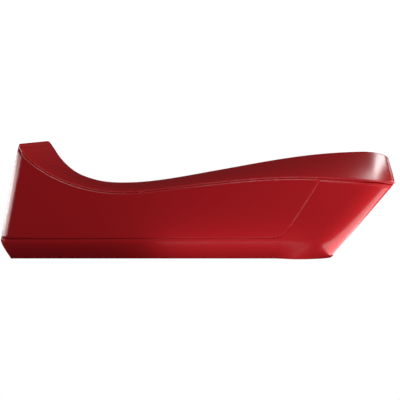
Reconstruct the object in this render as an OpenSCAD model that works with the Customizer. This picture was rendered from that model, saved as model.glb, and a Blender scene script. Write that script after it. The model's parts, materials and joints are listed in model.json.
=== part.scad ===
// Long, low newspaper vending box with a wave-shaped roof.
// X runs along the length (head at -X, raked prow at +X), Y across the depth
// (customer side at +Y), Z up. The origin is the centre of the anchor bolt
// pattern, in the plane of the base. All sizes are in millimetres.

/* [Body] */
// Overall length along X
body_l = 1300; // [1240:10:1600]
// Depth between the two side faces, along Y
body_w = 440; // [400:10:560]
// Height of the crest of the head
head_h = 386; // [370:1:470]
// Lean of the left end, from the knuckle up to the crest
end_lean = 72; // [50:1:90]
// Lean of the prow, from the base up to its tip
prow_lean = 204; // [150:1:220]
// Height of the tucked skirt, up to its knuckle
skirt_h = 61; // [50:1:64]
// Depth of the tuck under the long sides
skirt_tuck = 26; // [10:1:32]
// Depth of the tuck under the left end
toe_tuck = 36; // [20:1:45]
// Height of the seam between the hull and the upper panels
seam_z = 68; // [66:1:74]
// Wall of the moulded panels
wall = 4; // [3:0.5:5]
// Thickness of the roof cover
roof_t = 5; // [4:0.5:7]
// Width of the seam between the hull and the upper panels
seam = 1.2; // [0.6:0.1:2]
// Gap between the roof cover and the panels under it
roof_seam = 0.8; // [0.6:0.1:0.9]
// Radius of the two upright corners at the left end
corner_r = 36; // [25:1:45]
// Length of the roll where the long sides turn into the prow
roll_l = 120; // [80:1:140]
// Depth of that roll
roll_d = 60; // [40:1:80]

/* [Roof] */
// Height of the dip on the rear side
dip_h_rear = 224; // [220:1:240]
// Height of the dip on the front side
dip_h_front = 225; // [222:1:240]
// Height of the long hump on the rear side
hump_h_rear = 267; // [255:1:300]
// Height of the long hump on the front side
hump_h_front = 329; // [310:1:360]

/* [Door] */
// Left edge of the door opening
door_x0 = -264; // [-270:1:-240]
// Right edge of the door opening
door_x1 = 234; // [200:1:236]
// Lower edge of the door opening
door_z0 = 92; // [90:1:100]
// Strip of fascia left between the door opening and the roof edge
header_h = 24; // [20:1:34]
// Gap around the door
door_gap = 2; // [1.5:0.1:3]
// Margin at each side of the window
window_side = 48; // [44:1:80]
// Drop from the top of the door opening to the window
window_drop = 46; // [44:1:60]
// Radius of the hinge pins
pin_r = 3; // [2:0.1:3.5]

/* [Coin head] */
// Diameter of the release button
button_d = 18; // [12:1:20]
// Travel of the release button
button_travel = 6; // [3:0.5:8]
// Height of the coin drawer
drawer_h = 53; // [40:1:54]
// Width of the coin drawer
drawer_w = 114; // [80:1:116]
// Length of the coin drawer
drawer_l = 236; // [180:1:240]

/* [Base] */
// Spacing of the anchor holes along X
anchor_x = 500; // [300:10:520]
// Spacing of the anchor holes along Y
anchor_y = 260; // [160:10:280]
// Diameter of the anchor holes
anchor_d = 14; // [8:0.5:18]
// Thickness of the base plate
base_t = 5; // [4:0.5:8]

/* [Fits] */
// Clearance of a piece on its seat
fit = 0.3; // [0.2:0.05:0.5]
// Radial clearance of a pin in its bore
pin_fit = 0.1; // [0.05:0.01:0.2]

/* [Hidden] */
$fn = 48;

paint = "firebrick";
steel = "silver";
dark = "dimgray";
rubber = "black";

half_w = body_w / 2;
x_left = -body_l / 2;
x_right = body_l / 2;
lip_x = x_left + end_lean;
prow_x = x_right - prow_lean;
lean_rate = end_lean / (head_h - skirt_h);
lean_angle = atan(lean_rate);

// ---- curves -------------------------------------------------------------
function mix(a, b, t) = a + (b - a) * t;
function unit(v) = v / norm(v);

// Cubic through knots [x, height, slope]
function knot_index(k, x, i = 0) =
    i >= len(k) - 2 || x <= k[i + 1][0] ? i : knot_index(k, x, i + 1);
function curve(k, x) =
    let (i = knot_index(k, x), a = k[i], b = k[i + 1], w = b[0] - a[0], t = (x - a[0]) / w)
    a[1] * (1 + 2 * t) * pow(1 - t, 2) + w * a[2] * t * pow(1 - t, 2)
    + b[1] * t * t * (3 - 2 * t) + w * b[2] * t * t * (t - 1);

// The roof is ruled across Y between a rear and a front edge curve
head_drop_rear = 74;
head_drop_front = 101;
rear_knots = [[lip_x, head_h, -1.6],
    [lip_x + 69, head_h - head_drop_rear, -0.72],
    [lip_x + 202, dip_h_rear + 22.5, -0.3],
    [lip_x + 352, dip_h_rear, 0],
    [mix(lip_x + 352, x_right - 320, 0.44), mix(dip_h_rear, hump_h_rear, 0.52), 0.105],
    [x_right - 320, hump_h_rear, 0],
    [x_right - 67, hump_h_rear - 17, -0.12],
    [x_right, hump_h_rear - 36, -0.4]];
front_knots = [[lip_x, head_h, -2.4],
    [lip_x + 69, head_h - head_drop_front, -0.9],
    [lip_x + 161, dip_h_front + 13.5, -0.3],
    [lip_x + 278, dip_h_front, 0],
    [mix(lip_x + 278, x_right - 70, 0.376), mix(dip_h_front, hump_h_front, 0.39), 0.167],
    [x_right - 312, hump_h_front - 14.5, 0.12],
    [x_right - 70, hump_h_front, 0],
    [x_right, hump_h_front - 7.5, -0.15]];
function rear_z(x) = curve(rear_knots, x);
function front_z(x) = curve(front_knots, x);
function roof_z(x, y) = mix(rear_z(x), front_z(x), (y + half_w) / body_w);
function roof_slope(x, y) = (roof_z(x + 1, y) - roof_z(x - 1, y)) / 2;
// Underside of the roof cover, square to its slope
function under_z(x, y) = roof_z(x, y) - roof_t * norm([1, roof_slope(x, y)]);
// Where an upper panel stops below the roof cover
function panel_top(x, y) = under_z(x, y) - roof_seam * norm([1, roof_slope(x, y)]);
// The same for the whole thickness of a panel whose outer face is at y
function edge_top(x, y) = min(panel_top(x, y), panel_top(x, y - sign(y) * wall))
    - 0.8 * (norm([1, roof_slope(x, y)]) - 1) * body_l / 1300;

// ---- outline in plan ----------------------------------------------------
// How far an end draws in at a distance d from the side face
function corner_cut(d) = d >= corner_r ? 0 : corner_r - sqrt(corner_r^2 - (corner_r - d)^2);
function roll_cut(d) = d >= roll_d ? 0 : roll_l * (1 - sqrt(1 - (1 - d / roll_d)^2));
// Left end plane and prow plane at a height
function end_x(z) = x_left + lean_rate * (z - skirt_h);
function prow_rate(y) = prow_lean / roof_z(x_right, y);
function prow_end_x(z, y) = prow_x + prow_rate(y) * z;
// Roof outline: its left and right limits at a distance d from the side y
function lip_meet(d, y, n = 12, x = lip_x) =
    n == 0 ? x : lip_meet(d, y, n - 1, (x + end_x(roof_z(x, y)) + corner_cut(d)) / 2);
function tip_x(d) = x_right - roll_cut(d);
// Depth of the tuck at a height, as a share of its full depth
function tuck(z) = z >= skirt_h ? 0 : pow(1 - z / skirt_h, 1.4);

// ---- seam around the upper side panels ----------------------------------
seam_x = x_right - 360;
seam_lean = 0.66;
seam_r = 60;
seam_turn = atan(1 / seam_lean);
seam_tangent = seam_r * tan(seam_turn / 2);
// The slanted stretch of the seam, and where it meets the roof on a side
function slant_x(z) = seam_x + seam_lean * (z - seam_z);
function slant_top(y, n = 8, z = 250) =
    n == 0 ? z : slant_top(y, n - 1, edge_top(slant_x(z), y));
function seam_arc(a) = [seam_x - seam_tangent + seam_r * sin(a), seam_z + seam_r * (1 - cos(a))];

// ---- helpers ------------------------------------------------------------
// A plate with an outline in XZ between two Y values, and one in YZ between two X values
module plate_xz(pts, y0, y1) {
    translate([0, y1, 0]) rotate([90, 0, 0]) linear_extrude(y1 - y0) polygon(pts);
}
module plate_yz(pts, x0, x1) {
    translate([x0, 0, 0]) rotate([90, 0, 90]) linear_extrude(x1 - x0) polygon(pts);
}
module block(lo, hi) { translate(lo) cube(hi - lo); }
module rod_x(r, x0, x1, y, z) { translate([x0, y, z]) rotate([0, 90, 0]) cylinder(r = r, h = x1 - x0); }
module rod_y(r, y0, y1, x, z) { translate([x, y0, z]) rotate([-90, 0, 0]) cylinder(r = r, h = y1 - y0); }
module rod_z(r, z0, z1, x, y) { translate([x, y, z0]) cylinder(r = r, h = z1 - z0); }

// Outline with each corner [x, y, r] rounded to its radius
function rounded(c, n = 6) = [for (i = [0:len(c) - 1])
    let (m = len(c), p = [c[i].x, c[i].y], r = c[i].z,
        u = unit([c[(i + m - 1) % m].x, c[(i + m - 1) % m].y] - p),
        v = unit([c[(i + 1) % m].x, c[(i + 1) % m].y] - p),
        h = acos(u * v) / 2, o = p + unit(u + v) * r / sin(h),
        a = p + u * r / tan(h) - o, b = p + v * r / tan(h) - o,
        s = atan2(a.y, a.x), e = (atan2(b.y, b.x) - s + 540) % 360 - 180)
    each r == 0 ? [p] : [for (k = [0:n]) o + r * [cos(s + e * k / n), sin(s + e * k / n)]]];

// Closed skin between an outer and an inner grid of rows; ring joins the last row to the first
module skin(outer, inner, ring) {
    n = len(outer);
    m = len(outer[0]);
    all = concat([for (r = outer) each r], [for (r = inner) each r]);
    o = function (i, j) (i % n) * m + j;
    q = function (i, j) n * m + (i % n) * m + j;
    rows = ring ? n - 1 : n - 2;
    polyhedron(all, concat(
        [for (i = [0:rows], j = [0:m - 2]) each
            [[o(i, j), o(i + 1, j), o(i + 1, j + 1)], [o(i, j), o(i + 1, j + 1), o(i, j + 1)]]],
        [for (i = [0:rows], j = [0:m - 2]) each
            [[q(i, j), q(i + 1, j + 1), q(i + 1, j)], [q(i, j), q(i, j + 1), q(i + 1, j + 1)]]],
        [for (i = [0:rows]) each [[o(i, 0), q(i, 0), q(i + 1, 0)], [o(i, 0), q(i + 1, 0), o(i + 1, 0)]]],
        [for (i = [0:rows]) each [[o(i, m - 1), o(i + 1, m - 1), q(i + 1, m - 1)],
            [o(i, m - 1), q(i + 1, m - 1), q(i, m - 1)]]],
        ring ? [] : [for (j = [0:m - 2]) each [[o(0, j), o(0, j + 1), q(0, j + 1)],
            [o(0, j), q(0, j + 1), q(0, j)]]],
        ring ? [] : [for (j = [0:m - 2]) each [[o(n - 1, j), q(n - 1, j + 1), o(n - 1, j + 1)],
            [o(n - 1, j), q(n - 1, j), q(n - 1, j + 1)]]]));
}

// Coil of round wire along Y, from y0 to y1
module coil(r, wire, turns, y0, y1, x, z) {
    steps = 12;
    sides = 6;
    rows = turns * steps;
    ring = function (i) let (a = 360 * i / steps)
        [for (k = [0:sides - 1]) let (b = 360 * k / sides, w = r + wire * cos(b))
            [x + w * cos(a), mix(y0 + wire, y1 - wire, i / rows) + wire * sin(b), z + w * sin(a)]];
    polyhedron([for (i = [0:rows]) each ring(i)], concat(
        [[for (k = [0:sides - 1]) k]],
        [for (i = [0:rows - 1], k = [0:sides - 1]) let (n = (k + 1) % sides, a = i * sides)
            each [[a + k, a + sides + k, a + sides + n], [a + k, a + sides + n, a + n]]],
        [[for (k = [sides - 1:-1:0]) rows * sides + k]]));
}

// ---- hull: skirt all round, with the prow -------------------------------
// One upright column of the hull: foot x, top x and z, y of the face, inward direction, tuck depth
function side_columns(s) = let (
    y = s * half_w, top = slant_top(y), foot0 = seam_x - seam_tangent, foot1 = foot0 + 25)
    concat(
        [for (t = [0:4]) let (x = mix(x_left + corner_r, foot0, t / 5))
            [x, x, seam_z - seam, y, [0, -s], skirt_tuck]],
        [for (k = [0:4]) let (p = seam_arc(seam_turn * k / 4))
            [foot0 + 2 * k, p.x + seam * sin(seam_turn * k / 4), p.y - seam * cos(seam_turn * k / 4),
                y, [0, -s], skirt_tuck]],
        [for (k = [1:5]) let (z = mix(seam_arc(seam_turn).y, top, k / 5), f = k / 5)
            [mix(foot0 + 8, foot1, f), slant_x(z) + seam, z, y, [0, -s], mix(skirt_tuck, 0.8 * skirt_tuck, f)]],
        [for (k = [1:3]) let (f = k / 4, x = mix(slant_x(top), x_right - roll_l, f))
            [mix(foot1, prow_x - roll_l, f), x, edge_top(x, y), y, [0, -s],
                skirt_tuck * mix(0.8, 0.25, f)]]);
// Height at which a column of the roll meets the roof cover
function roll_top(ox, y, n = 8, z = 250) =
    n == 0 ? z - 2 * roof_seam : roll_top(ox, y, n - 1, edge_top(prow_end_x(z, y) + ox, y));
function roll_column(s, a) = let (
    y = s * (half_w - roll_d * (1 - cos(a))), ox = -roll_l * (1 - sin(a)), z = roll_top(ox, y))
    [prow_x + ox, prow_end_x(z, y) + ox, z, y, unit([-sin(a) / roll_l, -s * cos(a) / roll_d]),
        skirt_tuck * 0.25 * (1 - a / 90)];
function corner_column(s, a) = let (d = corner_r * (1 - cos(a)), x = x_left + corner_r * (1 - sin(a)))
    [x, x, seam_z - seam, s * (half_w - d), [sin(a), -s * cos(a)], mix(skirt_tuck, toe_tuck, a / 90)];
function flip(list) = [for (i = [len(list) - 1:-1:0]) list[i]];
hull_columns = concat(
    side_columns(-1), [for (a = [0:11.25:90]) roll_column(-1, a)],
    [for (a = [90:-11.25:0]) roll_column(1, a)], flip(side_columns(1)),
    [for (a = [0:15:90]) corner_column(1, a)], [for (a = [90:-15:15]) corner_column(-1, a)]);
hull_levels = [0, 0.12, 0.28, 0.48, 0.72, 1];
function hull_point(c, z, depth) = let (
    x = mix(c[0], c[1], z / c[2]), in = c[5] * tuck(z) + depth)
    [x + c[4].x * in * (c[4].x < 0 ? 1.3 : 1), c[3] + c[4].y * in, z];
function hull_row(c, depth) = concat(
    [for (l = hull_levels) hull_point(c, l * skirt_h, depth)],
    [for (k = [1:3]) hull_point(c, mix(skirt_h, c[2], k / 3), depth)]);

module base_hull() {
    color(paint) skin([for (c = hull_columns) hull_row(c, 0)],
        [for (c = hull_columns) hull_row(c, wall)], true);
}

// Plate that closes the hull below and carries the anchors, the walls and the ballast
base_x0 = x_left + toe_tuck + wall + 4;
base_x1 = prow_x - 14;
base_y = half_w - skirt_tuck - wall - 1;
module base_plate() {
    color(steel) difference() {
        linear_extrude(base_t) polygon(rounded([[base_x0, -base_y, 24], [base_x1 - 60, -base_y, 20],
            [base_x1, -base_y + 60, 20], [base_x1, base_y - 60, 20], [base_x1 - 60, base_y, 20],
            [base_x0, base_y, 24]]));
        for (sx = [-1, 1], sy = [-1, 1])
            translate([sx * anchor_x / 2, sy * anchor_y / 2, -1]) cylinder(d = anchor_d, h = base_t + 2);
        for (x = ballast_bolt_x, y = ballast_bolt_y)
            translate([x, y, -1]) cylinder(r = bolt_r + pin_fit, h = base_t + 2);
    }
}

// ---- upper panels -------------------------------------------------------
// Outline of a long side panel between the corner, the seam and the roof
function panel_outline(y) = let (
    z0 = seam_z + seam / 2, top = slant_top(y), xs = slant_x(top) - seam,
    x0 = end_x(z0) + corner_r + fit)
    concat(
        [[x0, z0]],
        [for (k = [0:5]) let (a = seam_turn * k / 5, p = seam_arc(a))
            [p.x - seam / 2 * sin(a), p.y + seam / 2 * cos(a)]],
        [for (k = [0:40]) let (x = mix(xs, panel_x_top(y), k / 40)) [x, edge_top(x, y)]]);
// Where the upright edge of a side panel meets the roof
function panel_x_top(y, n = 12, x = lip_x + corner_r) =
    n == 0 ? x + fit : panel_x_top(y, n - 1, (x + end_x(edge_top(x, y)) + corner_r) / 2);

module rear_panel() {
    color(paint) plate_xz(panel_outline(-half_w), -half_w, -half_w + wall);
}

// Height at which a column of a corner meets the roof cover, set down where the roof is steep
corner_drop = 3.5 * roof_seam;
function corner_top(s, a, depth, n = 12, z = head_h) = let (r = corner_r - depth,
    x = max(lip_x + depth / 2, end_x(z) + corner_r - r * sin(a)), y = s * (half_w - corner_r + r * cos(a)))
    n == 0 ? z - corner_drop : corner_top(s, a, depth, n - 1, (z + panel_top(x, y)) / 2);

// Rounded upright corner between a long side and the left end
module corner(s) {
    steps = [0:15:90];
    foot = seam_z + seam / 2;
    point = function (a, z, depth) let (r = corner_r - depth)
        [end_x(z) + corner_r - r * sin(a), s * (half_w - corner_r + r * cos(a)), z];
    grid = function (depth) [for (a = steps) let (top = corner_top(s, a, depth))
        [for (t = [0:0.125:1]) point(a, mix(foot, top, t), depth)]];
    color(paint) skin(s < 0 ? grid(0) : flip(grid(0)), s < 0 ? grid(wall) : flip(grid(wall)), false);
}
module rear_corner() { corner(-1); }
module front_corner() { corner(1); }

// Frame of the leaning left end: origin at the knuckle, Z up the slope, -X outwards
module on_end() { translate([x_left, 0, skirt_h]) rotate([0, lean_angle, 0]) children(); }
end_y = half_w - corner_r - fit;
end_foot = seam_z + seam / 2;
end_wall = wall / cos(lean_angle);
end_top = min(panel_top(lip_x, -end_y), panel_top(lip_x, end_y));
end_top_inner = min(panel_top(lip_x + wall, -end_y), panel_top(lip_x + wall, end_y));
drawer_y = half_w - 120;
drawer_z = 77;
front_z0 = drawer_z - skirt_h - 2;
front_z1 = front_z0 + drawer_h + 8;
front_half = drawer_w / 2 + 2;
module end_panel() {
    color(paint) difference() {
        plate_xz([[end_x(end_foot), end_foot], [end_x(end_foot) + end_wall, end_foot],
            [end_x(end_top_inner) + end_wall, end_top_inner], [end_x(end_top), end_top]], -end_y, end_y);
        on_end() block([-1, drawer_y - front_half - door_gap, front_z0 - door_gap],
            [wall + 1, drawer_y + front_half + door_gap, front_z1 + door_gap]);
    }
}

// Roof cover with softened long edges
module roof_cover() {
    edge = [0, 1, 3, 7, 13, 20, 28, corner_r, roll_d];
    ys = concat([for (d = edge) -half_w + d], [for (t = [1:3]) mix(-half_w + roll_d, half_w - roll_d, t / 4)],
        [for (d = flip(edge)) half_w - d]);
    spread = function (t) t < 0.3 ? 0.18 * t / 0.3 : mix(0.18, 1, (t - 0.3) / 0.7);
    // Upper rows ease down over the last 3 mm of their edges; lower rows follow the leaning ends
    upper = function (y) let (d = half_w - abs(y), x0 = lip_meet(d, y), ease = pow(max(0, 3 - d), 2) / 4.5)
        [for (t = [0:0.02:1.001]) let (x = mix(x0, tip_x(d), spread(t))) [x, y, roof_z(x, y) - ease]];
    lower = function (y) let (d = half_w - abs(y), x0 = lip_meet(d, y),
        shift0 = lean_rate * (roof_z(x0, y) - under_z(x0, y)), shift1 = prow_rate(y) * roof_t)
        [for (t = [0:0.02:1.001]) let (x = mix(x0, tip_x(d), spread(t)))
            [x - mix(shift0, shift1, pow(t, 0.2)) * (t < 0.01 || t > 0.99 ? 1 : 0), y, under_z(x, y)]];
    color(paint) skin(flip([for (y = ys) upper(y)]), flip([for (y = ys) lower(y)]), false);
}

// ---- door outline and fascia --------------------------------------------
// Outline of the door opening, drawn in by g on every side
function door_outline(g) = let (x0 = door_x0 + g, x1 = door_x1 - g, z0 = door_z0 + g) concat(
    [[x0, z0 + 12], [x0 + 3.5, z0 + 3.5], [x0 + 12, z0], [x1 - 12, z0], [x1 - 3.5, z0 + 3.5], [x1, z0 + 12]],
    [for (k = [0:24]) let (x = mix(x1, x0, k / 24)) [x, front_z(x) - header_h - roof_t - g]]);
// Outline of the window, grown by g on every side; its top runs parallel to the roof edge
window_x0 = door_x0 + window_side;
window_x1 = door_x1 - window_side;
window_z0 = door_z0 + 28;
function window_top(x) = front_z(x) - header_h - window_drop;
function window_outline(g) = let (x0 = window_x0 - g, x1 = window_x1 + g, n = 12)
    rounded(concat([[x0, window_z0 - g, 10 + g], [x1, window_z0 - g, 10 + g]],
        [for (k = [0:n]) let (x = mix(x1, x0, k / n))
            [x, window_top(x) + g, k == 0 || k == n ? 10 + g : 0]]));

slot_x = x_left + 195;
slot_z = 190;
button_x = x_left + 240;
button_z = 186;
cup_x = x_left + 180;
cup_z = 113;
cup_w = 46;
cup_h = 38;
button_r = button_d / 2;
bush_r = button_r + 3;
screw_r = 2.5;
fascia_screw_spots = [[x_left + 75, seam_z + 16], [x_left + 75, seam_z + 132],
    [x_left + 105, seam_z + 212], [door_x0 - 66, seam_z + 16], [door_x0 - 66, seam_z + 122],
    [door_x1 + 26, seam_z + 32], [door_x1 + 41, front_z(door_x1 + 41) - 42],
    [seam_x + 110, front_z(seam_x + 110) - 32]];

module front_fascia() {
    color(paint) difference() {
        plate_xz(panel_outline(half_w), half_w - wall, half_w);
        plate_xz(door_outline(0), half_w - wall - 1, half_w + 1);
        block([slot_x - 3, half_w - wall - 1, slot_z - 17], [slot_x + 3, half_w + 1, slot_z + 17]);
        rod_y(bush_r + pin_fit, half_w - wall - 1, half_w + 1, button_x, button_z);
        block([cup_x - cup_w / 2, half_w - wall - 1, cup_z - cup_h / 2],
            [cup_x + cup_w / 2, half_w + 1, cup_z + cup_h / 2]);
        for (p = fascia_screw_spots) rod_y(screw_r + fit, half_w - wall - 1, half_w + 1, p.x, p.y);
    }
}
module fascia_screws() {
    color(steel) for (p = fascia_screw_spots) {
        rod_y(screw_r, half_w - wall - 6, half_w + fit, p.x, p.y);
        rod_y(2 * screw_r, half_w + fit, half_w + fit + 2, p.x, p.y);
    }
}

// ---- inner walls and floor ----------------------------------------------
sheet = 3;
coin_wall_x = door_x0 - 36;
prow_wall_x = door_x1 + 31;
inner_y = half_w - wall - fit;
// Outline of an upright wall across the body at x, between the base plate and the roof
function wall_outline(x) = let (low = base_y - 2)
    [[-low, base_t + fit], [low, base_t + fit], [inner_y, skirt_h + 2],
        [inner_y, panel_top(x, inner_y)], [-inner_y, panel_top(x, -inner_y)], [-inner_y, skirt_h + 2]];
module coin_bulkhead() {
    color(steel) difference() {
        plate_yz(wall_outline(coin_wall_x), coin_wall_x, coin_wall_x + sheet);
        rod_x(latch_pin_r + pin_fit, coin_wall_x - 1, coin_wall_x + sheet + 1, latch_y, latch_z);
    }
}
module prow_bulkhead() {
    color(steel) plate_yz(wall_outline(prow_wall_x), prow_wall_x, prow_wall_x + sheet);
}

floor_z = door_z0 - 14;
floor_x0 = coin_wall_x + sheet + fit;
floor_x1 = prow_wall_x - fit;
module bay_floor() {
    floor_y = inner_y - 12;
    color(steel) {
        block([floor_x0, -floor_y, floor_z], [floor_x1, floor_y, floor_z + sheet]);
        for (x = [floor_x0, floor_x1 - sheet])
            block([x, -floor_y + 24, base_t + fit], [x + sheet, floor_y - 24, floor_z]);
    }
}

guide_x0 = door_x0 + 30;
guide_x1 = door_x1 - 14;
guide_z = floor_z + sheet + fit;
module paper_guides() {
    color(steel) {
        for (g = [[guide_x0, 1], [guide_x1, -1]]) {
            block([min(g[0], g[0] + 2 * g[1]), 50 - half_w, guide_z], [max(g[0], g[0] + 2 * g[1]), half_w - 70, guide_z + 70]);
            block([min(g[0], g[0] - 12 * g[1]), 50 - half_w, guide_z], [max(g[0], g[0] - 12 * g[1]), half_w - 70, guide_z + 2]);
        }
    }
}
module paper_stop() {
    color(steel) {
        block([guide_x0 + 20, 44 - half_w, guide_z], [guide_x1 - 20, 46 - half_w, guide_z + 85]);
        block([guide_x0 + 20, 24 - half_w, guide_z], [guide_x1 - 20, 44 - half_w, guide_z + 2]);
    }
}

// Cast ballast in the prow, bolted through the base plate
ballast_x0 = prow_wall_x + sheet + 10;
ballast_x1 = base_x1 - 8;
ballast_h = 46;
bolt_r = 5;
ballast_bolt_x = [ballast_x0 + 24, ballast_x1 - 24];
ballast_y = half_w - 100;
ballast_bolt_y = [40 - ballast_y, ballast_y - 40];
module ballast_block() {
    color(dark) difference() {
        translate([0, 0, base_t + fit]) linear_extrude(ballast_h)
            polygon(rounded([[ballast_x0, -ballast_y, 8], [ballast_x1, -ballast_y, 8],
                [ballast_x1, ballast_y, 8], [ballast_x0, ballast_y, 8]]));
        for (x = ballast_bolt_x, y = ballast_bolt_y) rod_z(bolt_r + pin_fit, 0, 100, x, y);
    }
}
module ballast_bolts() {
    z0 = base_t + fit + ballast_h + fit;
    color(steel) for (x = ballast_bolt_x, y = ballast_bolt_y) {
        rod_z(bolt_r, 0.5, z0, x, y);
        translate([x, y, z0]) cylinder(r = 1.8 * bolt_r, h = 6.5, $fn = 6);
    }
}

// ---- door ---------------------------------------------------------------
hinge_y = half_w + pin_r + 3.5;
hinge_z = door_z0 - 1;
knuckle_r = pin_r + 2.5;
leaf_t = 2;
leaf_w = 64;
hinge_x = [for (t = [0.12, 0.5, 0.88]) mix(door_x0, door_x1, t)];

// Frame behind the door opening that the closed door rests against
module door_stop_frame() {
    y1 = half_w - wall - 2 - fit;
    color(dark) difference() {
        plate_xz(door_outline(-9), y1 - sheet, y1);
        plate_xz(door_outline(10), y1 - sheet - 1, y1 + 1);
    }
    color(dark) for (p = [[door_x0 - 5, door_z0 + 40], [door_x1 + 5, door_z0 + 40],
        [door_x1 + 5, door_z0 + 120], [mix(door_x0, door_x1, 0.5), door_z0 - 5]])
        rod_y(3, y1, half_w - wall - fit, p.x, p.y);
}
module door_bumpers() {
    y1 = half_w - wall - 2;
    color(rubber) for (p = [[door_x0 + 6, door_z0 + 30], [door_x0 + 6, door_z0 + 80],
        [door_x1 - 6, door_z0 + 30], [door_x1 - 6, door_z0 + 140]])
        rod_y(3, y1, y1 + 2 - fit, p.x, p.y);
}

module hinge_leaf(x, up) {
    y0 = half_w + fit;
    side = up ? 1 : -1;
    third = leaf_w / 3;
    spans = up ? [[-third / 2, third / 2]] : [[-leaf_w / 2, -third / 2], [third / 2, leaf_w / 2]];
    difference() {
        union() {
            block([x - leaf_w / 2, y0, min(hinge_z + side * (knuckle_r + 0.6), hinge_z + side * 22)],
                [x + leaf_w / 2, y0 + leaf_t, max(hinge_z + side * (knuckle_r + 0.6), hinge_z + side * 22)]);
            for (s = spans) {
                rod_x(knuckle_r, x + s[0] + fit, x + s[1] - fit, hinge_y, hinge_z);
                block([x + s[0] + fit, y0, min(hinge_z, hinge_z + side * (knuckle_r + 0.6))],
                    [x + s[1] - fit, y0 + leaf_t, max(hinge_z, hinge_z + side * (knuckle_r + 0.6))]);
            }
        }
        rod_x(pin_r + pin_fit, x - leaf_w, x + leaf_w, hinge_y, hinge_z);
    }
}
module hinge_leaves_fixed() { color(steel) for (x = hinge_x) hinge_leaf(x, false); }
module hinge_leaves_door() { color(steel) for (x = hinge_x) hinge_leaf(x, true); }
module hinge_pins() {
    color(steel) for (x = hinge_x) {
        rod_x(pin_r, x - leaf_w / 2 - 22, x + leaf_w / 2 + 1, hinge_y, hinge_z);
        rod_x(pin_r + 1.5, x + leaf_w / 2 + 1, x + leaf_w / 2 + 3, hinge_y, hinge_z);
    }
}
// Torsion springs on the free ends of the hinge pins
module door_springs() {
    r = pin_r + 2;
    color(dark) for (x = hinge_x) rotate([0, 0, -90])
        coil(r, 0.8, 6, x - leaf_w / 2 - 20, x - leaf_w / 2 - 2, -hinge_y, hinge_z);
}

handle_x = mix(door_x0, door_x1, 0.62);
handle_span = 120;
handle_z = front_z(handle_x) - header_h - 22;
handle_reach = 30;
handle_r = 6;
handle_ends = [handle_x - handle_span / 2, handle_x + handle_span / 2];
handle_screw_r = 2;

module door_panel() {
    color(paint) difference() {
        plate_xz(door_outline(door_gap), half_w - wall, half_w);
        plate_xz(window_outline(0), half_w - wall - 1, half_w + 1);
        for (x = handle_ends)
            rod_y(handle_screw_r + fit, half_w - wall - 1, half_w + 1, x, handle_z);
    }
}
gasket_t = 2;
pane_t = 3;
gasket_y = half_w - wall - gasket_t;
pane_y = gasket_y - pane_t;
retainer_y = pane_y - 2;
module window_gasket() {
    color(rubber) difference() {
        plate_xz(window_outline(7), gasket_y, gasket_y + gasket_t);
        plate_xz(window_outline(0), gasket_y - 1, gasket_y + gasket_t + 1);
    }
}
module door_window() { color([0.7, 0.8, 0.85, 0.4]) plate_xz(window_outline(7), pane_y, pane_y + pane_t); }
module window_retainer() {
    color(steel) difference() {
        plate_xz(window_outline(11), retainer_y, retainer_y + 2);
        plate_xz(window_outline(-1), retainer_y - 1, retainer_y + 3);
        for (p = retainer_screw_spots) rod_y(1.5 + fit, retainer_y - 1, retainer_y + 3, p.x, p.y);
    }
}
retainer_screw_spots = concat(
    [for (t = [0.1, 0.5, 0.9]) [mix(window_x0, window_x1, t), window_z0 - 9]],
    [for (t = [0.1, 0.9]) let (x = mix(window_x0, window_x1, t)) [x, window_top(x) + 9.3]]);
module retainer_screws() {
    color(steel) for (p = retainer_screw_spots) {
        rod_y(1.5, retainer_y, half_w - wall, p.x, p.y);
        rod_y(3, retainer_y - 2, retainer_y, p.x, p.y);
    }
}

// Bent pull handle on two feet
module door_handle() {
    y0 = half_w + fit;
    color(steel) difference() {
        union() {
            for (x = handle_ends) {
                rod_y(handle_r, y0, y0 + handle_reach, x, handle_z);
                translate([x, y0 + handle_reach, handle_z]) sphere(r = handle_r);
                rod_y(handle_r + 4, y0, y0 + 3, x, handle_z);
            }
            rod_x(handle_r, handle_ends[0], handle_ends[1], y0 + handle_reach, handle_z);
        }
        for (x = handle_ends) rod_y(handle_screw_r + pin_fit, y0 - 1, y0 + 12, x, handle_z);
    }
}
module handle_screws() {
    color(steel) for (x = handle_ends) {
        rod_y(handle_screw_r, half_w - wall - fit, half_w + 10, x, handle_z);
        rod_y(2 * handle_screw_r, half_w - wall - fit - 2, half_w - wall - fit, x, handle_z);
    }
}

// Keeper on the door that the latch hook drops over
keeper_x = door_x0 + 24;
keeper_y = half_w - 20;
keeper_z = door_z0 + 73;
module door_keeper() {
    y1 = half_w - wall - fit;
    color(steel) {
        for (x = [keeper_x - 9, keeper_x + 6]) block([x, keeper_y - 5, keeper_z - 9], [x + 3, y1, keeper_z + 6]);
        block([keeper_x - 9, y1 - 2, keeper_z - 22], [keeper_x + 9, y1, keeper_z - 9]);
        for (x = [keeper_x - 9, keeper_x + 6]) block([x, y1 - 2, keeper_z - 10], [x + 3, y1, keeper_z - 8]);
        rod_x(3, keeper_x - 7, keeper_x + 7, keeper_y, keeper_z);
    }
}

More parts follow.
